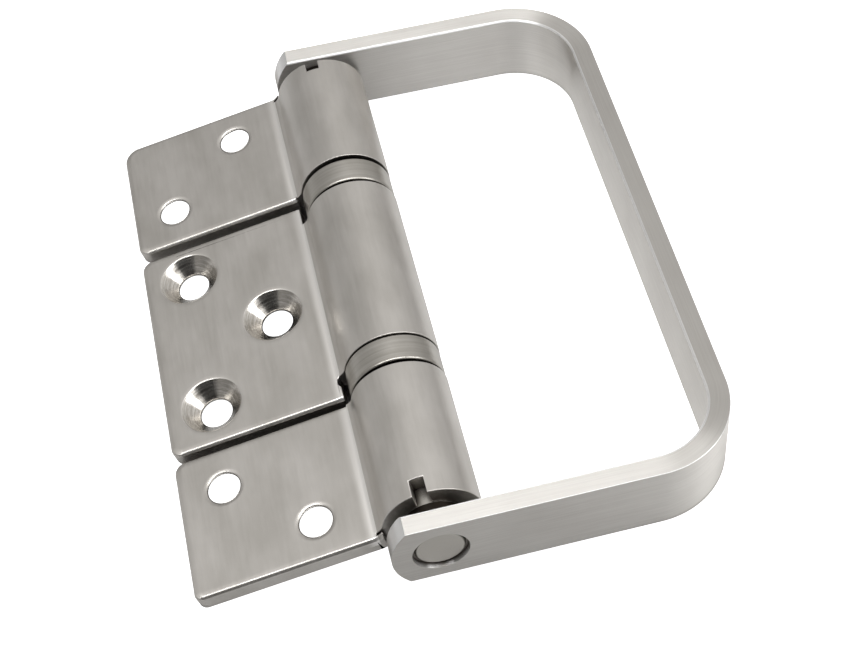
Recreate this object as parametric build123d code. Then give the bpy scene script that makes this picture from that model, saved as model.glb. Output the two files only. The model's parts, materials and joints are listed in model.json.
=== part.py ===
from build123d import *
from math import asin, atan2, cos, degrees, hypot, radians, sqrt, tan
import os

# Bifold door hinge with a D-shaped pull handle, in millimetres.
# It lies on a flat surface: the barrel runs along Y, the leaves reach to -X and the handle to +X.
# Every piece is drawn about the barrel's axis, then turned and lifted into place at the end.

# Plate of the three leaves, and the barrel that it is rolled into
PLATE = 3.0
BARREL_R = 8.0
BEND_R = 2.0                 # inside radius of the bend from leaf to knuckle
SEAM_ANGLE = 12.0            # how far below the leaf the rolled plate ends, about the barrel's axis
LEAF_REACH = 38.7            # from the barrel's axis to a leaf's free edge
LEAF_CORNER_R = 2.0          # the free corners, apart from the two at the ends of the hinge
UPPER_CORNER_R = 3.0         # the upper leaf's outer corner, which folds over into the handle's bend
LOWER_CORNER_R = 1.5         # the lower leaf's outer corner
EDGE_CHAMFER = 0.5           # the top edge that the punch leaves soft round a leaf
ROOT_CUT = 0.8               # beside a knuckle, the leaf is cut back this far from the barrel

# Lengths along the barrel
CENTRE_LEAF_LENGTH = 42.9
CENTRE_LEAF_SHIFT = 0.3      # the centre leaf lies this far off its knuckle's middle, to the lower leaf
CENTRE_RELIEF = 4.35         # the centre knuckle is shorter than its leaf by this much at each end
UPPER_LEAF_LENGTH = 26.4
LOWER_LEAF_LENGTH = 26.0
UPPER_GAP = 1.8              # between the centre leaf and the upper one
LOWER_GAP = 1.25
UPPER_INNER_STEP = 0.45      # the upper knuckle starts this far inside its leaf's edge
LOWER_INNER_STEP = 0.0
OUTER_STEP = 1.2             # an outer knuckle ends this far short of its leaf's other edge
TAB_WIDTH = 0.75             # narrow tab that is left along that edge, beside the knuckle's end
TAB_LENGTH = 1.1             # from the root cut to the tab's tip
BITE_R = 1.1                 # round relief at the root of the centre leaf's lower knuckle end
BITE_DEPTH = 0.45

# Screw holes
SCREW_HOLE_D = 5.5
COUNTERSINK_D = 10.5
CENTRE_HOLE_NEAR_X = 17.4    # distances from the barrel's axis
CENTRE_HOLE_FAR_X = 30.6
CENTRE_HOLE_Y = 13.95        # the two far holes lie this far either side of the middle
OUTER_HOLE_NEAR_X = 17.6
OUTER_HOLE_FAR_X = 31.0
OUTER_HOLE_NEAR_EDGE = 6.9   # the hole near the barrel, from the outer leaf's outer edge
OUTER_HOLE_FAR_EDGE = 7.5    # the hole near the free edge, from the outer leaf's inner edge

# Notch in the outer end of each outer knuckle
NOTCH_WIDTH = 2.3
UPPER_NOTCH_DEPTH = 2.0
LOWER_NOTCH_DEPTH = 2.9
UPPER_NOTCH_TURN = 4.0       # degrees from the middle of the knuckle's top, towards the handle

# Pin, bushes and bearing rings
BUSH_WALL = 0.95
PIN_CHAMFER = 0.3
PIN_RECESS = 0.5             # each end of the pin lies this far inside the handle's outer face
RUNNING_CLEARANCE = 0.05     # on the radius, between the pin and what turns on it
END_CLEARANCE = 0.05         # along the barrel, between faces that turn on each other
BUSH_LENGTH = 8.0            # inside its knuckle; outside, it reaches to what it spaces off
RING_LENGTH = 5.1
UPPER_RING_GAP = 0.55        # between the centre knuckle and the upper bearing ring
LOWER_RING_GAP = 0.15
RING_STEP = 0.1              # a bearing ring is this much smaller in radius than the barrel
RING_CHAMFER = 0.4

# Handle
BAR_THICKNESS = 3.5
BAR_WIDTH = 13.5
BAR_CHAMFER = 0.2
GRIP_REACH = 49.0            # from the barrel's axis to the outside of the grip
ARM_GAP = 0.25               # left to the handle's arm when the longer outer leaf is folded over beside it
ARM_LEAN = 0.7               # degrees: the bends have sprung open, so the arms draw in towards the grip
UPPER_BEND_R = 11.5          # inside the handle's two bends
LOWER_BEND_R = 10.8
ARM_END_REACH = 7.7          # from the barrel's axis back to the end of each arm
ARM_END_R = 10.0             # the curve that the arm's end is ground to
COUNTERBORE_STEP = 0.5       # the counterbore is this much larger in radius than the pin
COUNTERBORE_DEPTH = 1.0

# Sizes that follow
plate_top = PLATE / 2
bore_r = BARREL_R - PLATE
bend_z = plate_top + BEND_R
bend_x = -sqrt((BARREL_R + BEND_R) ** 2 - bend_z ** 2)
root_x = -(BARREL_R + ROOT_CUT)
centre_top = CENTRE_LEAF_LENGTH / 2 - CENTRE_LEAF_SHIFT
centre_bottom = -CENTRE_LEAF_LENGTH / 2 - CENTRE_LEAF_SHIFT
centre_knuckle_end = CENTRE_LEAF_LENGTH / 2 - CENTRE_RELIEF
upper_start = centre_top + UPPER_GAP
lower_start = -centre_bottom + LOWER_GAP
outer_end = max(upper_start + UPPER_LEAF_LENGTH, lower_start + LOWER_LEAF_LENGTH)
lean = tan(radians(ARM_LEAN))
arm_inner = outer_end + ARM_GAP + LEAF_REACH * lean
arm_outer = arm_inner + BAR_THICKNESS / cos(radians(ARM_LEAN))
running_r = bore_r - BUSH_WALL
pin_r = running_r - RUNNING_CLEARANCE
beyond = 2 * BARREL_R        # longer than any cut has to reach

# Lying down, the leaves' free edges and the grip come as low as the barrel's underside
leaf_tilt = degrees(asin(BARREL_R / hypot(LEAF_REACH, plate_top)) - atan2(plate_top, LEAF_REACH))
handle_tilt = degrees(asin(BARREL_R / hypot(GRIP_REACH, BAR_WIDTH / 2)) - atan2(BAR_WIDTH / 2, GRIP_REACH))


def block(x_from, x_to, y_from, y_to, z_from, z_to):
    """A rectangular block between two corners."""
    solid = Box(x_to - x_from, y_to - y_from, z_to - z_from)
    return Pos((x_from + x_to) / 2, (y_from + y_to) / 2, (z_from + z_to) / 2) * solid


def round_bar(radius, y_from, y_to):
    """A plain round bar about the barrel's axis."""
    solid = Rot(90, 0, 0) * Cylinder(radius, y_to - y_from)
    return Pos(0, (y_from + y_to) / 2, 0) * solid


def rolled_section():
    """The leaf's section in XZ: flat plate, bend, and the roll over the barrel to its seam."""
    axis = Vector(0, 0, 0)
    bend = Vector(bend_x, 0, bend_z)
    to_axis = (axis - bend).normalized()
    down = Vector(0, 0, -1)
    half_way = (to_axis + down).normalized()
    far_side = Vector(1, 0, 0)
    seam = Vector(-1, 0, 0).rotate(Axis.Y, -SEAM_ANGLE)
    outer_r = BEND_R + PLATE
    free_low = Vector(-LEAF_REACH, 0, -plate_top)
    free_top = Vector(-LEAF_REACH, 0, plate_top)
    outline = [
        Line(free_low, free_top),
        Line(free_top, bend + down * BEND_R),
        ThreePointArc(bend + down * BEND_R, bend + half_way * BEND_R, bend + to_axis * BEND_R),
        ThreePointArc(bend + to_axis * BEND_R, far_side * BARREL_R, seam * BARREL_R),
        Line(seam * BARREL_R, seam * bore_r),
        ThreePointArc(seam * bore_r, far_side * bore_r, bend + to_axis * outer_r),
        ThreePointArc(bend + to_axis * outer_r, bend + half_way * outer_r, bend + down * outer_r),
        Line(bend + down * outer_r, free_low),
    ]
    return make_face(outline)


def rolled_plate(y_from, y_to, x_from, x_to):
    """A stretch of the rolled section along the barrel, kept between two Xs."""
    section = Pos(0, y_from, 0) * rolled_section()
    whole = extrude(section, amount=y_to - y_from, dir=(0, 1, 0))
    return whole & block(x_from, x_to, y_from, y_to, -beyond, beyond)


def round_corners(solid, end, low_r, high_r):
    """Round the two upright corners at one end along X: 0 is the lowest end, -1 the highest."""
    corners = solid.edges().filter_by(Axis.Z).group_by(Axis.X)[end].sort_by(Axis.Y)
    solid = fillet(corners[0], low_r)
    corners = solid.edges().filter_by(Axis.Z).group_by(Axis.X)[end].sort_by(Axis.Y)
    return fillet(corners[-1], high_r)


def soften(flat, low_r, high_r):
    """Round a leaf's two free corners, then break its top edge on the three free sides."""
    flat = round_corners(flat, 0, low_r, high_r)
    top = flat.faces().filter_by(Axis.Z).sort_by(Axis.Z)[-1]
    rim = [edge for edge in top.edges() if edge.center().X < bend_x - EDGE_CHAMFER]
    return chamfer(rim, EDGE_CHAMFER)


def screw_hole(x, y, sink_side):
    """A through hole whose countersink opens on the top face (+1) or on the hidden one (-1)."""
    sink_r = COUNTERSINK_D / 2
    hole_r = SCREW_HOLE_D / 2
    depth = sink_r - hole_r
    cutter = Pos(0, 0, plate_top - depth / 2) * Cone(hole_r, sink_r, depth)
    cutter += Cylinder(hole_r, 2 * PLATE)
    facing = Rot(0, 0 if sink_side > 0 else 180, 0)
    return Pos(-x, y, 0) * facing * cutter


def centre_leaf():
    """The middle leaf: one long knuckle, cut back at both corners to clear the bearing rings."""
    flat = rolled_plate(centre_bottom, centre_top, -LEAF_REACH, root_x)
    leaf = soften(flat, LEAF_CORNER_R, LEAF_CORNER_R)
    leaf += rolled_plate(-centre_knuckle_end, centre_knuckle_end, root_x, beyond)
    leaf -= screw_hole(CENTRE_HOLE_FAR_X, CENTRE_HOLE_Y, 1)
    leaf -= screw_hole(CENTRE_HOLE_FAR_X, -CENTRE_HOLE_Y, 1)
    leaf -= screw_hole(CENTRE_HOLE_NEAR_X, 0, 1)
    bite_x = root_x - BITE_DEPTH + BITE_R
    return leaf - Pos(bite_x, -centre_knuckle_end - BITE_R, 0) * Cylinder(BITE_R, 2 * bend_z)


def outer_leaf(start, length, inner_step, corner_r, notch_depth, notch_turn):
    """An outer leaf on the +Y side of the centre one; the lower leaf is a mirror image of such a leaf."""
    end = start + length
    knuckle_end = end - OUTER_STEP
    flat = rolled_plate(start, end, -LEAF_REACH, root_x)
    tab = rolled_plate(end - TAB_WIDTH, end, root_x, root_x + TAB_LENGTH)
    flat += tab.solids().sort_by(SortBy.VOLUME)[-1]
    leaf = soften(flat, LEAF_CORNER_R, corner_r)
    leaf += rolled_plate(start + inner_step, knuckle_end, root_x, beyond)
    leaf -= screw_hole(OUTER_HOLE_NEAR_X, end - OUTER_HOLE_NEAR_EDGE, -1)
    leaf -= screw_hole(OUTER_HOLE_FAR_X, start + OUTER_HOLE_FAR_EDGE, -1)
    half = NOTCH_WIDTH / 2
    notch = block(-half, half, knuckle_end - notch_depth, knuckle_end + PLATE, 0, beyond)
    return leaf - Rot(0, notch_turn, 0) * notch


def bush(y_from, y_to):
    """A turned sleeve that is pressed into a knuckle and runs on the pin."""
    return round_bar(bore_r, y_from, y_to) - round_bar(running_r, y_from, y_to)


def bearing_ring(y_from):
    """A loose ring on the pin, between two knuckles, with both rims broken."""
    y_to = y_from + RING_LENGTH
    ring = round_bar(BARREL_R - RING_STEP, y_from, y_to)
    ring = chamfer(ring.edges().filter_by(GeomType.CIRCLE), RING_CHAMFER)
    return ring - round_bar(running_r, y_from, y_to)


def hinge_pin():
    """The one pin through the whole barrel, pressed into both arms of the handle."""
    half = arm_outer - PIN_RECESS
    pin = round_bar(pin_r, -half, half)
    return chamfer(pin.edges().filter_by(GeomType.CIRCLE), PIN_CHAMFER)


def d_shape(x, arm_y, outward):
    """A block from behind the barrel out to x, its sides leaning in as the handle's arms do.

    Its two corners are the handle's bends, set outward from the inside radius.
    """
    outline = Polygon(
        (-beyond, -arm_y - beyond * lean),
        (x, -arm_y + x * lean),
        (x, arm_y - x * lean),
        (-beyond, arm_y + beyond * lean),
        align=None,
    )
    solid = Pos(0, 0, -BAR_WIDTH / 2) * extrude(outline, amount=BAR_WIDTH)
    return round_corners(solid, -1, LOWER_BEND_R + outward, UPPER_BEND_R + outward)


def handle():
    """Flat bar bent into a D, its arm ends ground round and bored for the pin."""
    outer = d_shape(GRIP_REACH, arm_outer, BAR_THICKNESS)
    inner = d_shape(GRIP_REACH - BAR_THICKNESS, arm_inner, 0)
    past_arms = arm_outer + BAR_THICKNESS
    behind_axis = block(-2 * beyond, 0, -past_arms, past_arms, -BAR_WIDTH, BAR_WIDTH)
    arm_end = behind_axis - Pos(ARM_END_R - ARM_END_REACH, 0, 0) * round_bar(ARM_END_R, -past_arms, past_arms)
    bar = outer - inner - arm_end
    bar = chamfer(bar.edges(), BAR_CHAMFER)
    bar -= round_bar(pin_r, -past_arms, past_arms)
    for side in (-1, 1):
        mouths = sorted((side * (arm_outer - COUNTERBORE_DEPTH), side * past_arms))
        bar -= round_bar(pin_r + COUNTERBORE_STEP, *mouths)
    return bar


def turning_pieces(leaf_start, leaf_length, inner_step, ring_gap):
    """On the +Y side: a bearing ring, the centre bush that carries it, and the outer leaf's two."""
    ring_start = centre_knuckle_end + ring_gap
    ring_end = ring_start + RING_LENGTH
    knuckle_start = leaf_start + inner_step
    knuckle_end = leaf_start + leaf_length - OUTER_STEP
    spacer_face = arm_inner - bore_r * lean - END_CLEARANCE
    return {
        "ring": bearing_ring(ring_start),
        "centre_bush": bush(centre_knuckle_end - BUSH_LENGTH, ring_start - END_CLEARANCE),
        "inner_bush": bush(ring_end + END_CLEARANCE, knuckle_start + BUSH_LENGTH),
        "outer_bush": bush(knuckle_end - BUSH_LENGTH, spacer_face),
    }


upper = turning_pieces(upper_start, UPPER_LEAF_LENGTH, UPPER_INNER_STEP, UPPER_RING_GAP)
lower = turning_pieces(lower_start, LOWER_LEAF_LENGTH, LOWER_INNER_STEP, LOWER_RING_GAP)
lower = {name: mirror(piece, Plane.XZ) for name, piece in lower.items()}
upper_leaf = outer_leaf(
    upper_start, UPPER_LEAF_LENGTH, UPPER_INNER_STEP, UPPER_CORNER_R, UPPER_NOTCH_DEPTH, UPPER_NOTCH_TURN
)
lower_leaf = outer_leaf(
    lower_start, LOWER_LEAF_LENGTH, LOWER_INNER_STEP, LOWER_CORNER_R, LOWER_NOTCH_DEPTH, 0
)

along_leaf = {
    "centre_leaf": centre_leaf(),
    "upper_leaf": upper_leaf,
    "lower_leaf": mirror(lower_leaf, Plane.XZ),
    "bearing_ring_upper": upper["ring"],
    "bearing_ring_lower": lower["ring"],
    "centre_bush_upper": upper["centre_bush"],
    "centre_bush_lower": lower["centre_bush"],
    "upper_bush_inner": upper["inner_bush"],
    "upper_bush_outer": upper["outer_bush"],
    "lower_bush_inner": lower["inner_bush"],
    "lower_bush_outer": lower["outer_bush"],
}
along_handle = {
    "handle": handle(),
    "hinge_pin": hinge_pin(),
}

# Lay the leaves and the handle down, and centre the whole along X
placed = {name: Rot(0, -leaf_tilt, 0) * piece for name, piece in along_leaf.items()}
placed.update({name: Rot(0, handle_tilt, 0) * piece for name, piece in along_handle.items()})
free_edge_x = placed["centre_leaf"].bounding_box().min.X
grip_x = placed["handle"].bounding_box().max.X
axis_x = -(free_edge_x + grip_x) / 2
print(f"barrel axis at x {axis_x:.4f}, z {BARREL_R}")
print(f"leaf tilt {leaf_tilt:.4f}, handle tilt {handle_tilt:.4f} degrees")

os.makedirs("parts", exist_ok=True)
for name, piece in placed.items():
    export_step(Pos(axis_x, 0, BARREL_R) * piece, f"parts/{name}.step")
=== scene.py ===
from functools import partial
import json
import math

import bmesh
import bpy
from mathutils import Matrix, Quaternion, Vector


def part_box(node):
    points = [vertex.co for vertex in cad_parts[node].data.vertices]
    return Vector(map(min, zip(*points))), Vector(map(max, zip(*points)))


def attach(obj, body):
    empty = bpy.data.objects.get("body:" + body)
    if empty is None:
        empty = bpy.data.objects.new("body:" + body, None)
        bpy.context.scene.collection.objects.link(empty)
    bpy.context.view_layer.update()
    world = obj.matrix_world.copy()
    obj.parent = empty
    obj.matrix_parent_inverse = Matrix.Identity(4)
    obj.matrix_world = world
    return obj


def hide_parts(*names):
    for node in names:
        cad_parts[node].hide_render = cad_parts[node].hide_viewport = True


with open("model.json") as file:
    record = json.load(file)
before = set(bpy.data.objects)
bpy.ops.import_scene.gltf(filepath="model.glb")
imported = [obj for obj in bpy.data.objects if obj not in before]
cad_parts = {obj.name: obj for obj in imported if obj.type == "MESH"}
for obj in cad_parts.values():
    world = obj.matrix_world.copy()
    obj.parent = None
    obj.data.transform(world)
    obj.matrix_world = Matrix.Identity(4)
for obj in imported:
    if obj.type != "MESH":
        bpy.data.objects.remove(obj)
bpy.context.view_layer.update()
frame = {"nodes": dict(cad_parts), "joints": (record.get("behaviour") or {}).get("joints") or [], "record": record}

MM = 0.001
handle_swing = next(joint for joint in frame["joints"] if joint["name"] == "handle_swing")
axis_point = Vector(handle_swing["pos_m"])       # the barrel's axis runs through it, along Y


# The three leaves.
# Punched from 3 mm stainless sheet, rolled at one side into the barrel, then tumbled until the
# edges are soft and the faces satin; a faint grain from the belt still runs along the barrel.
LEAF_TILT = math.radians(9.7014)         # the leaves slope down from the barrel
SHEET_HALF = 1.5 * MM                    # half the sheet's thickness
BEND_START = -9.37 * MM                  # where the roll begins, along the leaf from the barrel's axis
SCREW_HOLE_RADIUS = 2.75 * MM
COUNTERSINK_RADIUS = 5.25 * MM
CENTRE_HOLE_NEAR = 17.4 * MM             # from the barrel's axis
CENTRE_HOLE_FAR = 30.6 * MM
CENTRE_HOLE_SIDE = 13.95 * MM            # the two far holes lie this far either side of the middle
OUTER_HOLE_NEAR = 17.6 * MM
OUTER_HOLE_FAR = 31.0 * MM
OUTER_HOLE_NEAR_EDGE = 6.9 * MM          # the hole near the barrel, from the leaf's outer end
OUTER_HOLE_FAR_EDGE = 7.5 * MM           # the hole near the free edge, from the leaf's inner end
LEAF_EDGE = 0.18 * MM                    # how widely an edge is rounded, to either side
PLAIN_HOLE_EDGE = 0.3 * MM
KNUCKLE_RIM = 0.14 * MM
ROLL_WIDTH = 0.8 * MM                    # the punch has drawn the sheet down along a leaf's rim
ROLL_DROP = 0.18 * MM
PAINTED_HIGHLIGHT_FROM = -10.7 * MM                 # a painted highlight: a brighter band beside the barrel, along the leaf from its axis
PAINTED_HIGHLIGHT_FULL = -9.0 * MM
PAINTED_HIGHLIGHT_TO = -8.6 * MM
SAME_POINT = 0.001 * MM                  # corners nearer than this are one
SAME_LEVEL = 0.01 * MM                   # an edge with its ends nearer than this along Y runs across
FLAT_ANGLE = math.radians(0.4)           # faces closer to flat than this are one face
CRISP_ANGLE = math.radians(33)           # edges sharper than this are rounded
FLAT_SLOPE = 0.9999                      # of a face's normal, along the leaf's own
CONE_SLOPE = (0.6, 0.8)                  # the same on a countersink of 45 degrees
CONE_FINISH = 1                          # the second of a leaf's finishes
leaf_place = Matrix.Translation(axis_point) @ Matrix.Rotation(-LEAF_TILT, 4, "Y")
leaf_up = leaf_place.to_3x3() @ Vector((0, 0, 1))


def linear(hex_colour):
    """An sRGB hex colour as linear RGBA."""
    shares = [int(hex_colour[i:i + 2], 16) / 255 for i in (1, 3, 5)]
    return (*[c / 12.92 if c <= 0.04045 else ((c + 0.055) / 1.055) ** 2.4 for c in shares], 1.0)


def add(tree, kind, settings=None, feeds=None, **values):
    """Add a node: its properties, what feeds its sockets, and values by the sockets' names.

    A socket is fed by a node's first output, by an output, by a list of these, or by a value.
    """
    node = tree.nodes.new(kind)
    for name, value in (settings or {}).items():
        setattr(node, name, value)
    for name, value in values.items():
        node.inputs[name.replace("_", " ")].default_value = value
    for socket, sources in (feeds or {}).items():
        for source in sources if isinstance(sources, list) else [sources]:
            if isinstance(source, bpy.types.Node):
                source = source.outputs[0]
            if isinstance(source, bpy.types.NodeSocket):
                tree.links.new(source, node.inputs[socket])
            else:
                node.inputs[socket].default_value = source
    return node


def new_material(name):
    """An empty node material with its tree."""
    material = bpy.data.materials.new(name)
    material.use_nodes = True
    material.node_tree.nodes.clear()
    return material, material.node_tree


def linked(name, mesh):
    """A new object of a mesh, in the scene."""
    piece = bpy.data.objects.new(name, mesh)
    bpy.context.scene.collection.objects.link(piece)
    return piece


def softened(node_name, edge_width, shape_form=None):
    """A finished copy of a CAD node: merged, and each crisp edge rounded to its own half-width."""
    mesh = frame["nodes"][node_name].data.copy()
    mesh.name = node_name + "_finished"
    mesh.materials.clear()
    if "custom_normal" in mesh.attributes:
        mesh.attributes.remove(mesh.attributes["custom_normal"])
    form = bmesh.new()
    form.from_mesh(mesh)
    bmesh.ops.remove_doubles(form, verts=form.verts, dist=SAME_POINT)
    bmesh.ops.dissolve_limit(form, angle_limit=FLAT_ANGLE, verts=form.verts, edges=form.edges)
    if shape_form:
        shape_form(form)
    weight = form.edges.layers.float.new("bevel_weight_edge")
    crisp = {line: edge_width(line) for line in form.edges if line.calc_face_angle(0.0) > CRISP_ANGLE}
    widest = max(crisp.values())
    for line, width in crisp.items():
        line[weight] = width / widest
    for face in form.faces:
        face.smooth = True
    form.to_mesh(mesh)
    form.free()
    piece = linked(mesh.name, mesh)
    rounding = piece.modifiers.new("rounding", "BEVEL")
    rounding.limit_method = "WEIGHT"
    rounding.width = widest
    rounding.segments = 3
    rounding.use_clamp_overlap = False
    return piece


def dress(piece, node_name, slot_name, *materials):
    """Shade a piece's flats true; give it its finish and body, and hide the CAD node that it stands for. The slot
    name is not used.
    """
    flats = piece.modifiers.new("true_flats", "WEIGHTED_NORMAL")
    flats.keep_sharp = True
    for material in materials:
        piece.data.materials.append(material)
    bodies = frame["record"]["behaviour"]["bodies"]
    body = next(name for name, nodes in bodies.items() if node_name in nodes)
    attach(piece, body)
    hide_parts(node_name)


def hole_centres(leaf_name):
    """The middles of a leaf's screw holes."""
    if leaf_name == "centre_leaf":
        places = [(CENTRE_HOLE_FAR, CENTRE_HOLE_SIDE),
                  (CENTRE_HOLE_FAR, -CENTRE_HOLE_SIDE),
                  (CENTRE_HOLE_NEAR, 0.0)]
    else:
        inner, outer = sorted((corner.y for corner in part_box(leaf_name)), key=abs)
        side = math.copysign(1.0, outer)
        places = [(OUTER_HOLE_NEAR, outer - side * OUTER_HOLE_NEAR_EDGE),
                  (OUTER_HOLE_FAR, inner + side * OUTER_HOLE_FAR_EDGE)]
    return [leaf_place @ Vector((-reach, y, 0)) for reach, y in places]


def leaf_edge(line, holes, countersunk):
    """How widely an edge of a leaf is rounded."""
    middle = (line.verts[0].co + line.verts[1].co) / 2
    across = abs(line.verts[0].co.y - line.verts[1].co.y) < SAME_LEVEL
    if across and (leaf_place.inverted() @ middle).x > BEND_START:
        return KNUCKLE_RIM
    at_hole = min((middle - hole).length for hole in holes) < COUNTERSINK_RADIUS
    return PLAIN_HOLE_EDGE if at_hole and not countersunk else LEAF_EDGE


def shape_leaf(form, holes, countersunk):
    """Draw the top face's rim down, and give each countersink's cone its finish and its hole's middle."""
    hole_of = form.faces.layers.float_vector.new("hole_centre")
    flat = []
    for face in form.faces:
        middle = face.calc_center_median()
        nearest = min(holes, key=lambda hole: (middle - hole).length)
        slope = face.normal.dot(leaf_up)
        face[hole_of] = nearest
        if (middle - nearest).length < COUNTERSINK_RADIUS and CONE_SLOPE[0] < abs(slope) < CONE_SLOPE[1]:
            face.material_index = CONE_FINISH
        if slope > FLAT_SLOPE and (leaf_place.inverted() @ middle).x < BEND_START:
            flat.append(face)
    rim = bmesh.ops.inset_region(form, faces=flat, thickness=ROLL_WIDTH, use_even_offset=True,
                                 use_boundary=True)["faces"]
    inside = {corner for face in flat for corner in face.verts}
    for corner in {corner for face in rim for corner in face.verts} - inside:
        from_hole = min((corner.co - hole).length for hole in holes)
        at_cone = countersunk and from_hole < COUNTERSINK_RADIUS + SHEET_HALF
        if (leaf_place.inverted() @ corner.co).x < BEND_START - ROLL_WIDTH and not at_cone:
            corner.co -= leaf_up * ROLL_DROP


def laid_coordinates(tree, tilt, centre):
    """Object coordinates about a centre, turned so that X runs along the leaf or the arm."""
    place = add(tree, "ShaderNodeTexCoord").outputs["Object"]
    about = add(tree, "ShaderNodeVectorMath", {"operation": "SUBTRACT"}, {0: place, 1: centre})
    return add(tree, "ShaderNodeMapping", {"vector_type": "TEXTURE"}, {"Vector": about},
               Rotation=(0, tilt, 0))


def gloss_direction(tree, tilt, grain):
    """What the gloss streaks along: across the grain, in the surface."""
    turned = add(tree, "ShaderNodeMapping", {"vector_type": "VECTOR"}, {"Vector": grain},
                 Rotation=(0, tilt, 0))
    to_world = {"vector_type": "VECTOR", "convert_from": "OBJECT", "convert_to": "WORLD"}
    in_world = add(tree, "ShaderNodeVectorTransform", to_world, {"Vector": turned})
    normal = add(tree, "ShaderNodeNewGeometry").outputs["Normal"]
    return add(tree, "ShaderNodeVectorMath", {"operation": "CROSS_PRODUCT"}, {0: normal, 1: in_world})


# Satin stainless: a soft grey that gathers broad, dull light. Sizes are in mm, a stretch multiplies the
# pattern's own scale along each axis, and a corner is where the surface lies close to another: there the
# colour is painted darker, towards the corner colour, as painted shade. The painted light colour here is a
# painted highlight. Scratches are drawn as coarse as they need to be to show.
SATIN = {
    "light": "#D4D1CD", "dark": "#C2BFBA", "painted_light_and_shade": "#F6F4F1",
    "corner": "#5A524B", "painted_shade_reach": 2.6, "painted_shade_from": 0.05, "painted_shade_to": 0.8,
    "blotch_size": 7.0, "blotch_stretch": (1.0, 0.6, 1.0), "blotch_height": 0.07,
    "scratch_stretch": (1.6, 0.12, 1.6), "scratch_height": 0.009, "streak_share": 0.25,
    "roughness": 0.38, "anisotropy": 0.5,
}
SHEET_GRAIN = (0.04, 1.0, 0.03)          # along the barrel, a little askew
COLOUR_NOISE = (0.35, 0.65)              # the stretch of a noise that goes from dark to light
GLOSS_NOISE = (0.3, 0.7)
GLOSS_SPREAD = 0.04                      # the roughness varies by this much either way
A_COLOUR, B_COLOUR, MIXED_COLOUR = 6, 7, 2       # a Mix node's colour sockets


def grained_steel(tree, finish, tilt, laid, along, grain, painted_light_and_shade=0.0):
    """Stainless with soft blotches, fine scratches along its grain, gloss streaked across it, and painted shade in
    its corners.

    laid places the blotches and along the scratches, and the last argument says where the painted colour shows: a
    painted highlight on sheet and bar, painted shade on turned steel.
    """
    stretched = add(tree, "ShaderNodeMapping", None, {"Vector": laid}, Scale=finish["blotch_stretch"])
    blotch = add(tree, "ShaderNodeTexNoise", None, {"Vector": stretched},
                 Scale=1 / (finish["blotch_size"] * MM), Detail=3, Roughness=0.5)
    drawn_out = add(tree, "ShaderNodeMapping", None, {"Vector": along}, Scale=finish["scratch_stretch"])
    streak = add(tree, "ShaderNodeTexNoise", None, {"Vector": drawn_out},
                 Scale=1 / MM, Detail=4, Roughness=0.65)
    both = add(tree, "ShaderNodeMix", None, {"A": blotch, "B": streak}, Factor=finish["streak_share"])
    share = add(tree, "ShaderNodeMapRange", None, {"Value": both},
                From_Min=COLOUR_NOISE[0], From_Max=COLOUR_NOISE[1])
    colour = linear(finish["dark"])
    # The second mix paints the finish's painted highlight or painted shade colour where the last argument asks for
    # it.
    for factor, toward in ((share, finish["light"]), (painted_light_and_shade, finish["painted_light_and_shade"])):
        colour = add(tree, "ShaderNodeMix", {"data_type": "RGBA"}, {
            "Factor": factor, A_COLOUR: colour, B_COLOUR: linear(toward)}).outputs[MIXED_COLOUR]
    # Painted shade: where another surface lies close, the colour is darkened towards the corner colour, as shade.
    open_share = add(tree, "ShaderNodeAmbientOcclusion", {"samples": 8},
                     Distance=finish["painted_shade_reach"] * MM).outputs["AO"]
    lit = add(tree, "ShaderNodeMapRange", {"interpolation_type": "SMOOTHSTEP"}, {"Value": open_share},
              From_Min=finish["painted_shade_from"], From_Max=finish["painted_shade_to"])
    colour = add(tree, "ShaderNodeMix", {"data_type": "RGBA"}, {
        "Factor": lit, A_COLOUR: linear(finish["corner"]), B_COLOUR: colour}).outputs[MIXED_COLOUR]
    rough = add(tree, "ShaderNodeMapRange", None, {"Value": streak},
                From_Min=GLOSS_NOISE[0], From_Max=GLOSS_NOISE[1],
                To_Min=finish["roughness"] - GLOSS_SPREAD, To_Max=finish["roughness"] + GLOSS_SPREAD)
    scratched = add(tree, "ShaderNodeBump", None, {"Height": streak},
                    Strength=1.0, Distance=finish["scratch_height"] * MM)
    wavy = add(tree, "ShaderNodeBump", None, {"Height": blotch, "Normal": scratched},
               Strength=1.0, Distance=finish["blotch_height"] * MM)
    across = gloss_direction(tree, tilt, grain)
    shader = add(tree, "ShaderNodeBsdfPrincipled", None,
                 {"Base Color": colour, "Roughness": rough, "Normal": wavy, "Tangent": across},
                 Metallic=1.0, Anisotropic=finish["anisotropy"])
    add(tree, "ShaderNodeOutputMaterial", None, {"Surface": shader})


def satin_sheet():
    """Satin stainless sheet; against the barrel a narrow band is painted brighter, as a painted highlight."""
    material, tree = new_material("satin_stainless_sheet")
    laid = laid_coordinates(tree, -LEAF_TILT, axis_point)
    split = add(tree, "ShaderNodeSeparateXYZ", None, {0: laid}).outputs
    band = add(tree, "ShaderNodeMapRange", {"interpolation_type": "SMOOTHSTEP"}, {"Value": split["X"]},
               From_Min=PAINTED_HIGHLIGHT_FROM, From_Max=PAINTED_HIGHLIGHT_FULL)
    short_of = add(tree, "ShaderNodeMath", {"operation": "LESS_THAN"}, {0: split["X"], 1: PAINTED_HIGHLIGHT_TO})
    on_top = add(tree, "ShaderNodeMath", {"operation": "GREATER_THAN"}, {0: split["Z"], 1: 0.0})
    for limit in (short_of, on_top):
        band = add(tree, "ShaderNodeMath", {"operation": "MULTIPLY"}, {0: band, 1: limit})
    grained_steel(tree, SATIN, -LEAF_TILT, laid, laid, SHEET_GRAIN, band)
    return material


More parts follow.
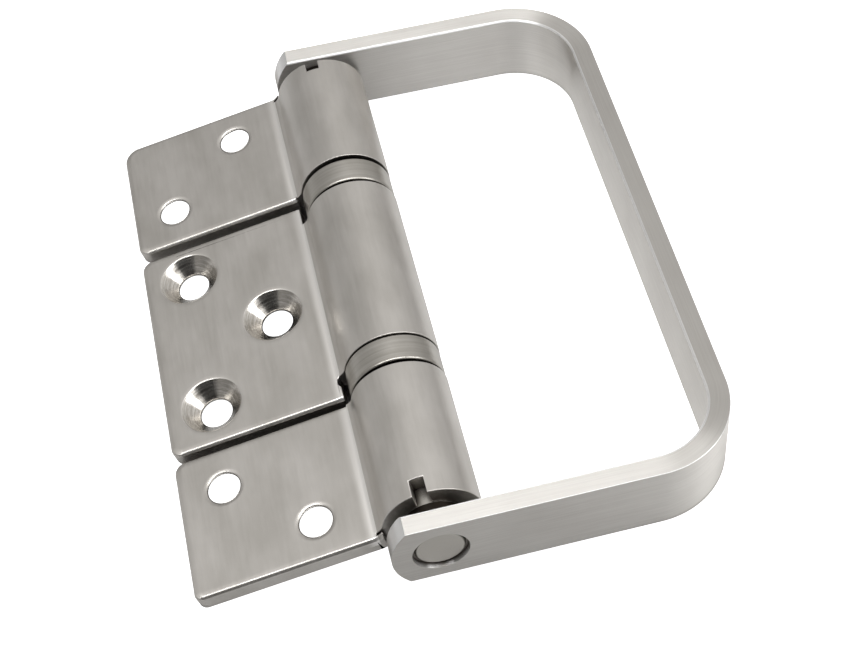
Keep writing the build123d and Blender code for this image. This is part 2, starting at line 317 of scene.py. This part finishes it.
def countersunk_sheet():
    """The cone of a countersink: bright from the cutter, with fine marks round the hole."""
    material, tree = new_material("countersunk_stainless")
    centre = add(tree, "ShaderNodeAttribute", {"attribute_name": "hole_centre"}).outputs["Vector"]
    laid = laid_coordinates(tree, -LEAF_TILT, centre)
    split = add(tree, "ShaderNodeSeparateXYZ", None, {0: laid}).outputs
    back = add(tree, "ShaderNodeMath", {"operation": "MULTIPLY"}, {0: split["Y"], 1: -1.0})
    grain = add(tree, "ShaderNodeCombineXYZ", None, {"X": back, "Y": split["X"]})
    turn = add(tree, "ShaderNodeMath", {"operation": "ARCTAN2"}, {0: split["Y"], 1: split["X"]})
    around = add(tree, "ShaderNodeMath", {"operation": "MULTIPLY"}, {
        0: turn, 1: (SCREW_HOLE_RADIUS + COUNTERSINK_RADIUS) / 2})
    along = add(tree, "ShaderNodeCombineXYZ", None, {"X": around, "Y": split["Z"]})
    finish = SATIN | {
        "light": "#E6E3DE", "dark": "#A8A39C", "painted_shade_from": 0.0, "painted_shade_to": 0.8,
        "blotch_size": 2.0, "blotch_height": 0.02,
        "scratch_stretch": (0.15, 3.0, 1.0), "scratch_height": 0.006, "streak_share": 0.8,
        "roughness": 0.20, "anisotropy": 0.6,
    }
    grained_steel(tree, finish, -LEAF_TILT, laid, along, grain)
    return material


sheet_steel = satin_sheet()
cone_steel = countersunk_sheet()
for leaf_name in ("centre_leaf", "upper_leaf", "lower_leaf"):
    holes = hole_centres(leaf_name)
    countersunk = leaf_name == "centre_leaf"     # the outer leaves' countersinks are on the hidden face
    leaf = softened(leaf_name, partial(leaf_edge, holes=holes, countersunk=countersunk),
                    partial(shape_leaf, holes=holes, countersunk=countersunk))
    dress(leaf, leaf_name, "leaf_steel", sheet_steel, cone_steel)


# The handle.
# One stainless bar of 13.5 x 3.5 mm bent into a D, its arms ground round at their ends, counterbored
# for the pin and brushed along the bar, so that its gloss streaks across it.
BAR_THICKNESS = 3.5 * MM
BAR_WIDTH = 13.5 * MM
OUTER_EDGE = 0.12 * MM
INNER_EDGE = 0.45 * MM                   # the edges inside the D are rubbed rounder
UPPER_BEND = 11.5 * MM                   # inside radii
LOWER_BEND = 10.8 * MM
GRIP_REACH = 49.0 * MM                   # from the barrel's axis to the outside of the grip
ARM_LEAN = math.tan(math.radians(0.7))   # the arms draw in towards the grip
ARM_END_REACH = 7.7 * MM                 # from the barrel's axis back to the end of each arm
ARM_END_RADIUS = 10.0 * MM
PIN_RADIUS = 4.0 * MM
PIN_RECESS = 0.5 * MM                    # the pin's ends lie this far inside the arms' faces
COUNTERBORE_RADIUS = 4.5 * MM
COUNTERBORE_DEPTH = 1.0 * MM
ROUND_STEPS = 96                         # round the pin's hole, the arms' ends and the turned pieces
BEND_STEPS = 28
EDGE_STEPS = 5
SHARP_ANGLE = math.radians(35)           # an edge that turns less than this is shaded smooth
HANDLE_TILT = math.radians(1.4644)       # the handle slopes down from the barrel to its grip
handle_place = Matrix.Translation(axis_point) @ Matrix.Rotation(HANDLE_TILT, 4, "Y")
arm_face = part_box("hinge_pin")[1].y + PIN_RECESS


def new_tree(name, *sizes):
    """An empty Geometry Nodes tree that takes a path, a finish and the named sizes; and its inputs."""
    tree = bpy.data.node_groups.new(name, "GeometryNodeTree")
    tree.interface.new_socket("Geometry", in_out="OUTPUT", socket_type="NodeSocketGeometry")
    tree.interface.new_socket("Path", in_out="INPUT", socket_type="NodeSocketGeometry")
    tree.interface.new_socket("Finish", in_out="INPUT", socket_type="NodeSocketMaterial")
    for size in sizes:
        tree.interface.new_socket(size, in_out="INPUT", socket_type="NodeSocketFloat")
    return tree, add(tree, "NodeGroupInput").outputs


def finish_tree(tree, geometry, finish):
    """End a tree: smooth but for its sharp edges, nothing left as an instance, and in its finish."""
    smooth = add(tree, "GeometryNodeSetShadeSmooth", None, {"Geometry": geometry})
    turn = add(tree, "GeometryNodeInputMeshEdgeAngle")
    soft = add(tree, "FunctionNodeCompare", {"operation": "LESS_THAN"}, {0: turn, 1: SHARP_ANGLE})
    creased = add(tree, "GeometryNodeSetShadeSmooth", {"domain": "EDGE"}, {
        "Geometry": smooth, "Shade Smooth": soft})
    real = add(tree, "GeometryNodeRealizeInstances", None, {"Geometry": creased})
    finished = add(tree, "GeometryNodeSetMaterial", None, {"Geometry": real, "Material": finish})
    add(tree, "NodeGroupOutput", None, {0: finished})


def grown(name, tree, values, place, path=((0, 0, 0),)):
    """Run a tree on a path, its inputs set by their identifiers, and keep the plain mesh in its place."""
    line = bpy.data.meshes.new(name + "_path")
    line.from_pydata(path, [(i, i + 1) for i in range(len(path) - 1)], [])
    seed = linked(name + "_path", line)
    maker = seed.modifiers.new("maker", "NODES")
    maker.node_group = tree
    for item in tree.interface.items_tree:
        if item.name in values:
            maker[item.identifier] = values[item.name]
    mesh = bpy.data.meshes.new_from_object(seed.evaluated_get(bpy.context.evaluated_depsgraph_get()))
    bpy.data.objects.remove(seed)
    bpy.data.meshes.remove(line)
    mesh.name = name
    mesh.transform(place)
    return linked(name, mesh)


def by_side(tree, axis, low, high):
    """A size that is one value where a point's coordinate is below zero, and another above."""
    place = add(tree, "GeometryNodeInputPosition")
    part = add(tree, "ShaderNodeSeparateXYZ", None, {0: place}).outputs[axis]
    above = add(tree, "FunctionNodeCompare", {"operation": "GREATER_THAN"}, {0: part, 1: 0.0})
    return add(tree, "GeometryNodeSwitch", {"input_type": "FLOAT"}, {
        "Switch": above, "False": low, "True": high})


def cylinder_across(tree, radius, length, x, y):
    """A round cutter whose axis runs along Y."""
    rod = add(tree, "GeometryNodeMeshCylinder", None, {"Radius": radius, "Depth": length},
              Vertices=ROUND_STEPS)
    return add(tree, "GeometryNodeTransform", None, {
        "Geometry": rod, "Translation": (x, y, 0), "Rotation": (math.pi / 2, 0, 0)})


def bent_bar():
    """A bar along a path with two bends, its ends ground round, bored for the pin and counterbored."""
    tree, size = new_tree("bent_bar", "Thickness", "Width", "Upper Bend", "Lower Bend", "Outer Edge",
                          "Inner Edge", "Arm End Radius", "Pin Radius", "Counterbore Radius")
    bend = by_side(tree, "Y", size["Lower Bend"], size["Upper Bend"])
    route = add(tree, "GeometryNodeMeshToCurve", None, {"Mesh": size["Path"]})
    route = add(tree, "GeometryNodeFilletCurve", {"mode": "POLY"}, {"Curve": route, "Radius": bend},
                Count=BEND_STEPS)
    route = add(tree, "GeometryNodeSetCurveNormal", {"mode": "Z_UP"}, {"Curve": route})
    edge = by_side(tree, "X", size["Inner Edge"], size["Outer Edge"])
    section = add(tree, "GeometryNodeCurvePrimitiveQuadrilateral", None, {
        "Width": size["Thickness"], "Height": size["Width"]})
    section = add(tree, "GeometryNodeFilletCurve", {"mode": "POLY"}, {"Curve": section, "Radius": edge},
                  Count=EDGE_STEPS)
    bar = add(tree, "GeometryNodeCurveToMesh", None, {"Curve": route, "Profile Curve": section},
              Fill_Caps=True)
    past = 2 * arm_face + BAR_WIDTH
    reach = GRIP_REACH + BAR_WIDTH
    ahead = add(tree, "GeometryNodeMeshCube", None, {"Size": (reach, past, 2 * BAR_WIDTH)})
    ahead = add(tree, "GeometryNodeTransform", None, {"Geometry": ahead, "Translation": (reach / 2, 0, 0)})
    rounded = cylinder_across(tree, size["Arm End Radius"], past, ARM_END_RADIUS - ARM_END_REACH, 0.0)
    kept = add(tree, "GeometryNodeMeshBoolean", {"operation": "UNION", "solver": "EXACT"}, {
        "Mesh 2": [ahead, rounded]})
    bar = add(tree, "GeometryNodeMeshBoolean", {"operation": "INTERSECT", "solver": "EXACT"}, {
        "Mesh 2": [bar, kept]})
    cutters = [cylinder_across(tree, size["Pin Radius"], past, 0.0, 0.0)]
    for y in (arm_face, -arm_face):
        cutters.append(cylinder_across(tree, size["Counterbore Radius"], 2 * COUNTERBORE_DEPTH, 0.0, y))
    bar = add(tree, "GeometryNodeMeshBoolean", {"operation": "DIFFERENCE", "solver": "EXACT"}, {
        "Mesh 1": bar, "Mesh 2": cutters})
    finish_tree(tree, bar, size["Finish"])
    return tree


# The brush ran along arm, bend and grip, and its marks are laid out along them. The upper bend's centre
# serves for both bends, and lies so high that its Z never counts.
bend_centre = (GRIP_REACH - BAR_THICKNESS - UPPER_BEND,
               arm_face - BAR_THICKNESS - UPPER_BEND - GRIP_REACH * ARM_LEAN, 1.0)
bend_middle = UPPER_BEND + BAR_THICKNESS / 2
GRAIN_LIFT = 0.2 * MM                    # leans the grain's direction a little out of the D's plane
WIDE_FACE = (0.2, 0.4)                   # of a normal, upright: below it lies the bar's wide face
NARROW_FACE = (0.998, 0.98)              # and above it the narrow one; between them, the edge, painted white as a highlight


def brushed_bar():
    """Stainless bar brushed along its length, its edges painted white as a painted highlight; what lies past a
    bend's centre tells arm from grip.
    """
    material, tree = new_material("brushed_stainless_bar")
    laid = laid_coordinates(tree, HANDLE_TILT, axis_point)
    split = add(tree, "ShaderNodeSeparateXYZ", None, {0: laid}).outputs
    side = add(tree, "ShaderNodeMath", {"operation": "SIGN"}, {0: split["Y"]})
    mirrored = add(tree, "ShaderNodeVectorMath", {"operation": "ABSOLUTE"}, {0: laid})
    beyond = add(tree, "ShaderNodeVectorMath", {"operation": "SUBTRACT"}, {0: mirrored, 1: bend_centre})
    beyond = add(tree, "ShaderNodeVectorMath", {"operation": "MAXIMUM"}, {0: beyond, 1: (0, 0, 0)})
    before = add(tree, "ShaderNodeVectorMath", {"operation": "MINIMUM"}, {0: mirrored, 1: bend_centre})
    past_bend = add(tree, "ShaderNodeSeparateXYZ", None, {0: beyond}).outputs
    short_of = add(tree, "ShaderNodeSeparateXYZ", None, {0: before}).outputs
    turn = add(tree, "ShaderNodeMath", {"operation": "ARCTAN2"}, {0: past_bend["X"], 1: past_bend["Y"]})
    along = add(tree, "ShaderNodeMath", {"operation": "MULTIPLY_ADD"}, {
        0: turn, 1: bend_middle, 2: short_of["X"]})
    along = add(tree, "ShaderNodeMath", {"operation": "SUBTRACT"}, {0: along, 1: short_of["Y"]})
    along = add(tree, "ShaderNodeMath", {"operation": "MULTIPLY"}, {0: along, 1: side})
    out = add(tree, "ShaderNodeVectorMath", {"operation": "LENGTH"}, {0: beyond}).outputs["Value"]
    unbent = add(tree, "ShaderNodeCombineXYZ", None, {"X": along, "Y": out, "Z": split["Z"]})
    back = add(tree, "ShaderNodeMath", {"operation": "MULTIPLY"}, {0: past_bend["Y"], 1: side})
    back = add(tree, "ShaderNodeMath", {"operation": "MULTIPLY"}, {0: back, 1: -1.0})
    grain = add(tree, "ShaderNodeCombineXYZ", None, {"X": back, "Y": past_bend["X"]}, Z=GRAIN_LIFT)
    normal = add(tree, "ShaderNodeTexCoord").outputs["Normal"]
    upright = add(tree, "ShaderNodeSeparateXYZ", None, {0: normal}).outputs["Z"]
    upright = add(tree, "ShaderNodeMath", {"operation": "ABSOLUTE"}, {0: upright})
    off_wide, off_narrow = [
        add(tree, "ShaderNodeMapRange", None, {"Value": upright}, From_Min=low, From_Max=high)
        for low, high in (WIDE_FACE, NARROW_FACE)]
    # Painted highlight: the edges between the wide and narrow faces are painted white.
    painted_edge_highlight = add(tree, "ShaderNodeMath", {"operation": "MULTIPLY"}, {0: off_wide, 1: off_narrow})
    finish = SATIN | {
        "light": "#DBD9D5", "dark": "#CBC8C4", "painted_light_and_shade": "#FFFFFF",
        "painted_shade_reach": 2.0, "painted_shade_from": 0.25, "painted_shade_to": 0.9,
        "blotch_size": 14.0, "blotch_stretch": (1, 1, 1), "blotch_height": 0.02,
        "scratch_stretch": (0.07, 3.5, 3.5), "scratch_height": 0.006, "streak_share": 0.6,
        "roughness": 0.42, "anisotropy": 0.95,
    }
    grained_steel(tree, finish, HANDLE_TILT, laid, unbent, grain, painted_edge_highlight)
    return material


def bar_middle(x, side):
    """A point of the bar's middle line, on the arm of one side."""
    return (x, side * (arm_face - BAR_THICKNESS / 2 - x * ARM_LEAN), 0)


corner_x = GRIP_REACH - BAR_THICKNESS / 2
route = [bar_middle(-BAR_WIDTH, -1), bar_middle(corner_x, -1),
         bar_middle(corner_x, 1), bar_middle(-BAR_WIDTH, 1)]
handle = grown("d_handle", bent_bar(), {
    "Finish": brushed_bar(), "Thickness": BAR_THICKNESS, "Width": BAR_WIDTH,
    "Upper Bend": UPPER_BEND + BAR_THICKNESS / 2, "Lower Bend": LOWER_BEND + BAR_THICKNESS / 2,
    "Outer Edge": OUTER_EDGE, "Inner Edge": INNER_EDGE, "Arm End Radius": ARM_END_RADIUS,
    "Pin Radius": PIN_RADIUS, "Counterbore Radius": COUNTERBORE_RADIUS}, handle_place, route)
dress(handle, "handle", "handle_steel")


# The bearing rings, the bushes and the pin.
# All turned on a lathe from stainless bar. The tool leaves fine rings round the axis, so the gloss streaks
# along it; the bushes are pressed into the knuckles, and the rings lie loose on the pin between them.
BUSH_BORE = 4.05 * MM
RING_EDGE = 0.45 * MM                    # radii of the rounded edges
BUSH_EDGE = 0.2 * MM
PIN_EDGE = 0.1 * MM
RIM_STEPS = 4
KNUCKLE_END = 47.9 * MM                  # past it, a bush stands in the dark beside the handle's arm, and is painted dark as shade
END_FACE = (0.7, 0.95)                   # of a normal, along the barrel: past it lies a piece's end face, painted dark as shade


def turned_ring():
    """A sleeve whose axis is Z, with all four edges rounded."""
    tree, size = new_tree("turned_ring", "Radius", "Bore", "Length", "Edge")
    wall = add(tree, "ShaderNodeMath", {"operation": "SUBTRACT"}, {0: size["Radius"], 1: size["Bore"]})
    middle = add(tree, "ShaderNodeMath", {"operation": "ADD"}, {0: size["Radius"], 1: size["Bore"]})
    middle = add(tree, "ShaderNodeMath", {"operation": "DIVIDE"}, {0: middle, 1: 2.0})
    loop = add(tree, "GeometryNodeCurvePrimitiveCircle", None, {"Radius": middle}, Resolution=ROUND_STEPS)
    section = add(tree, "GeometryNodeCurvePrimitiveQuadrilateral", None, {
        "Width": wall, "Height": size["Length"]})
    section = add(tree, "GeometryNodeFilletCurve", {"mode": "POLY"},
                  {"Curve": section, "Radius": size["Edge"]}, Count=RIM_STEPS)
    ring = add(tree, "GeometryNodeCurveToMesh", None, {"Curve": loop, "Profile Curve": section})
    finish_tree(tree, ring, size["Finish"])
    return tree


# Turned stainless: darker than the sheet; its end faces, and the bushes past the knuckles' ends, are painted
# darker still, as painted shade.
TURNED = SATIN | {
    "light": "#BFBCB7", "dark": "#ABA8A1", "painted_light_and_shade": "#2E2A26",
    "corner": "#38322D", "painted_shade_reach": 2.4, "painted_shade_from": 0.15, "painted_shade_to": 0.75,
    "blotch_size": 4.0, "blotch_stretch": (1, 1, 1), "blotch_height": 0.01,
    "scratch_stretch": (0.1, 3.0, 3.0), "scratch_height": 0.006, "streak_share": 0.7,
    "roughness": 0.34, "anisotropy": 0.3,
}
# Faced stainless: the pin, whose round ends show in the arms; paler, and its ends as pale as the rest.
FACED = TURNED | {
    "light": "#D0CDC8", "dark": "#BEBBB5", "painted_light_and_shade": "#C2BFB9", "streak_share": 0.3,
    "roughness": 0.4, "anisotropy": 0.4,
}


def turned_steel(name, finish):
    """Turned stainless: the tool's rings run round the barrel's axis; the end faces, and what lies past the
    knuckles' ends, take the finish's painted shade colour.
    """
    material, tree = new_material(name)
    laid = laid_coordinates(tree, -LEAF_TILT, axis_point)
    split = add(tree, "ShaderNodeSeparateXYZ", None, {0: laid}).outputs
    back = add(tree, "ShaderNodeMath", {"operation": "MULTIPLY"}, {0: split["X"], 1: -1.0})
    grain = add(tree, "ShaderNodeCombineXYZ", None, {"X": split["Z"], "Z": back})
    turn = add(tree, "ShaderNodeMath", {"operation": "ARCTAN2"}, {0: split["X"], 1: split["Z"]})
    around = add(tree, "ShaderNodeMath", {"operation": "MULTIPLY"}, {0: turn, 1: PIN_RADIUS})
    flat = add(tree, "ShaderNodeVectorMath", {"operation": "MULTIPLY"}, {0: laid, 1: (1, 0, 1)})
    out = add(tree, "ShaderNodeVectorMath", {"operation": "LENGTH"}, {0: flat}).outputs["Value"]
    along = add(tree, "ShaderNodeCombineXYZ", None, {"X": around, "Y": split["Y"], "Z": out})
    normal = add(tree, "ShaderNodeNewGeometry").outputs["Normal"]
    facing = add(tree, "ShaderNodeSeparateXYZ", None, {0: normal}).outputs["Y"]
    facing = add(tree, "ShaderNodeMath", {"operation": "ABSOLUTE"}, {0: facing})
    # Painted shade: the end faces, and whatever lies past the knuckles' ends, take the finish's painted shade
    # colour.
    end = add(tree, "ShaderNodeMapRange", None, {"Value": facing},
              From_Min=END_FACE[0], From_Max=END_FACE[1])
    from_middle = add(tree, "ShaderNodeMath", {"operation": "ABSOLUTE"}, {0: split["Y"]})
    sunk = add(tree, "ShaderNodeMath", {"operation": "GREATER_THAN"}, {0: from_middle, 1: KNUCKLE_END})
    dark = add(tree, "ShaderNodeMath", {"operation": "MAXIMUM"}, {0: end, 1: sunk})
    grained_steel(tree, finish, -LEAF_TILT, laid, along, grain, dark)
    return material


ring_tree = turned_ring()
ring_steel = turned_steel("turned_stainless", TURNED)
turned_kinds = {"bearing_ring": (RING_EDGE, "ring_steel"), "bush": (BUSH_EDGE, "bush_steel")}
for node_name in frame["nodes"]:
    for kind, (edge_radius, slot_name) in turned_kinds.items():
        if kind in node_name:
            low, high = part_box(node_name)
            middle = Vector((axis_point.x, (low.y + high.y) / 2, axis_point.z))
            ring = grown(node_name + "_turned", ring_tree, {
                "Finish": ring_steel, "Radius": (high.x - low.x) / 2, "Bore": BUSH_BORE,
                "Length": high.y - low.y, "Edge": edge_radius},
                Matrix.Translation(middle) @ Matrix.Rotation(math.pi / 2, 4, "X"))
            dress(ring, node_name, slot_name)

pin = softened("hinge_pin", lambda line: PIN_EDGE)
dress(pin, "hinge_pin", "pin_steel", turned_steel("faced_stainless", FACED))


# The surface it lies on.
# A sheet of matt white card. One glow, for the camera only, burns it out to white, but leaves a painted shadow
# under the barrel; a weaker one, for the steel, is painted light in its reflections that grows towards the grip,
# with painted shade under the hinge and at the front left, where it is left out.
CARD_SIZE = 4.0
GLOW = 1.3                               # over the card's own light, for the camera
GRIP_SIDE = 45 * MM
# The steel's glow, painted light in its reflections, from the barrel to the grip
GLOW_AT_BARREL, GLOW_AT_GRIP = 0.12, 0.78
# Each patch of painted shade: its middle and how far from it the dark ends and the light is full, in X and then in
# Y
BARREL_SHADE = ((axis_point.x - 3 * MM, 8 * MM, 10.5 * MM), (0.0, 36 * MM, 42 * MM))
HINGE_SHADE = ((axis_point.x - 16 * MM, 20 * MM, 26 * MM), (0.0, 46 * MM, 50 * MM))
FRONT_SHADE = ((-60 * MM, 48 * MM, 175 * MM), (-86 * MM, 40 * MM, 44 * MM))


def outside_patch(tree, place, patch):
    """0 within a patch of the floor, and 1 well outside it."""
    sides = []
    for axis, (middle, near, far) in zip("XY", patch):
        offset = add(tree, "ShaderNodeMath", {"operation": "SUBTRACT"}, {0: place[axis], 1: middle})
        offset = add(tree, "ShaderNodeMath", {"operation": "ABSOLUTE"}, {0: offset})
        outside = add(tree, "ShaderNodeMapRange", {"interpolation_type": "SMOOTHSTEP"}, {"Value": offset},
                      From_Min=near, From_Max=far)
        sides.append(outside)
    return add(tree, "ShaderNodeMath", {"operation": "MAXIMUM"}, {0: sides[0], 1: sides[1]})


def white_card():
    """Matt white card: a pale diffuse grey; one glow for the camera, with a painted shadow, and one for the steel,
    painted light with painted shade.
    """
    material, tree = new_material("matt_white_card")
    ray = add(tree, "ShaderNodeLightPath").outputs
    place = add(tree, "ShaderNodeTexCoord").outputs["Object"]
    place = add(tree, "ShaderNodeSeparateXYZ", None, {0: place}).outputs
    # Painted shadow: the camera's glow is left out under the barrel.
    for_camera = add(tree, "ShaderNodeMath", {"operation": "MULTIPLY"}, {
        0: outside_patch(tree, place, BARREL_SHADE), 1: ray["Is Camera Ray"]})
    # Painted light in the steel's reflections, growing towards the grip, with painted shade in the patches where
    # it is left out.
    painted_reflection_glow = add(tree, "ShaderNodeMath", {"operation": "MULTIPLY"}, {
        0: outside_patch(tree, place, HINGE_SHADE), 1: ray["Is Glossy Ray"]})
    by_grip = add(tree, "ShaderNodeMapRange", None, {"Value": place["X"]}, From_Min=0.0, From_Max=GRIP_SIDE,
                  To_Min=GLOW_AT_BARREL, To_Max=GLOW_AT_GRIP)
    for share in (outside_patch(tree, place, FRONT_SHADE), by_grip):
        painted_reflection_glow = add(tree, "ShaderNodeMath", {"operation": "MULTIPLY"}, {0: painted_reflection_glow, 1: share})
    shine = add(tree, "ShaderNodeMath", {"operation": "MULTIPLY_ADD"}, {
        0: for_camera, 1: GLOW, 2: painted_reflection_glow})
    matt = add(tree, "ShaderNodeBsdfDiffuse", Color=linear("#B6B6B6"))
    glow = add(tree, "ShaderNodeEmission", None, {"Strength": shine})
    both = add(tree, "ShaderNodeAddShader", None, {0: matt, 1: glow})
    add(tree, "ShaderNodeOutputMaterial", None, {"Surface": both})
    return material


half = CARD_SIZE / 2
card = bpy.data.meshes.new("floor")
corners = [(-half, -half, 0), (half, -half, 0), (half, half, 0), (-half, half, 0)]
card.from_pydata(corners, [], [(0, 1, 2, 3)])
card.materials.append(white_card())
floor = linked("floor", card)


# The studio.
# A plain pale room, paler overhead than at the horizon, which the camera sees as white.
# In it hang three softboxes, and dark screens stand on the camera's side, at the left and behind.
HORIZON, ZENITH = 0.45, 0.88
# Each dark screen: its direction, the cosines where its dark begins and is full, and what light it leaves
DARK_SCREENS = (
    ((-0.14, -0.77, 0.62), 0.76, 0.93, 0.03),
    ((-0.84, -0.28, 0.47), 0.75, 0.95, 0.55),
    ((-0.35, 0.85, 0.40), 0.82, 0.97, 0.64),
)
# Each softbox: its place, width, height and radiance
SOFTBOXES = {
    # Long along the barrel: the brushed arms gather its light, and the grip doesn't
    "overhead_softbox": ((0.18, -0.16, 1.0), 0.42, 0.70, 3.7),
    # Over the leaves: it draws the bright line along their front edges
    "rim_softbox": ((-0.34, -0.20, 1.0), 0.30, 0.75, 4.2),
    # Low at the right: it lights the left side of each countersink
    "side_softbox": ((0.71, -0.30, 0.62), 0.44, 0.40, 3.8),
}

world = bpy.data.worlds.new("studio")
world.use_nodes = True
bpy.context.scene.world = world
studio = world.node_tree
studio.nodes.clear()
look = add(studio, "ShaderNodeTexCoord").outputs["Generated"]
height = add(studio, "ShaderNodeSeparateXYZ", None, {0: look}).outputs["Z"]
strength = add(studio, "ShaderNodeMapRange", None, {"Value": height}, To_Min=HORIZON, To_Max=ZENITH)
for direction, dark_from, dark_to, light_left in DARK_SCREENS:
    toward = add(studio, "ShaderNodeVectorMath", {"operation": "DOT_PRODUCT"}, {
        0: look, 1: direction}).outputs["Value"]
    shade = add(studio, "ShaderNodeMapRange", {"interpolation_type": "SMOOTHSTEP"}, {"Value": toward},
                From_Min=dark_from, From_Max=dark_to, To_Min=1.0, To_Max=light_left)
    strength = add(studio, "ShaderNodeMath", {"operation": "MULTIPLY"}, {0: strength, 1: shade})
room = add(studio, "ShaderNodeBackground", None, {"Strength": strength}, Color=linear("#FFFDFA"))
white = add(studio, "ShaderNodeBackground", Color=linear("#FFFFFF"), Strength=1.0)
for_camera = add(studio, "ShaderNodeLightPath").outputs["Is Camera Ray"]
either = add(studio, "ShaderNodeMixShader", None, {"Fac": for_camera, 1: room, 2: white})
add(studio, "ShaderNodeOutputWorld", None, {"Surface": either})

for name, (place, width, height, radiance) in SOFTBOXES.items():
    lamp = bpy.data.lights.new(name, "AREA")
    lamp.shape = "RECTANGLE"
    lamp.size = width
    lamp.size_y = height
    lamp.energy = radiance * math.pi * width * height
    box = bpy.data.objects.new(name, lamp)
    box.location = place
    box.rotation_mode = "QUATERNION"
    box.rotation_quaternion = (-Vector(place)).to_track_quat("-Z", "Y")
    bpy.context.scene.collection.objects.link(box)

bpy.context.scene.view_settings.view_transform = "Standard"


# The camera.
# It looks down on the hinge as it did for the photograph, a little rolled, through a short telephoto lens.
AIM = axis_point + Vector((6.249, -10.184, 0.0)) * MM
AZIMUTH = math.radians(5.04)
ELEVATION = math.radians(51.85)
DISTANCE = 296.13 * MM
ROLL = math.radians(-9.24)
LENS = 76.54
level = math.cos(ELEVATION)
away = Vector((math.sin(AZIMUTH) * level, math.cos(AZIMUTH) * level, -math.sin(ELEVATION)))
lens = bpy.data.cameras.new("camera")
lens.lens = LENS
lens.sensor_width = 36.0
lens.clip_start = 0.01
camera = bpy.data.objects.new("camera", lens)
camera.location = AIM - away * DISTANCE
camera.rotation_mode = "QUATERNION"
camera.rotation_quaternion = away.to_track_quat("-Z", "Y") @ Quaternion((0, 0, 1), ROLL)
bpy.context.scene.collection.objects.link(camera)
bpy.context.scene.camera = camera
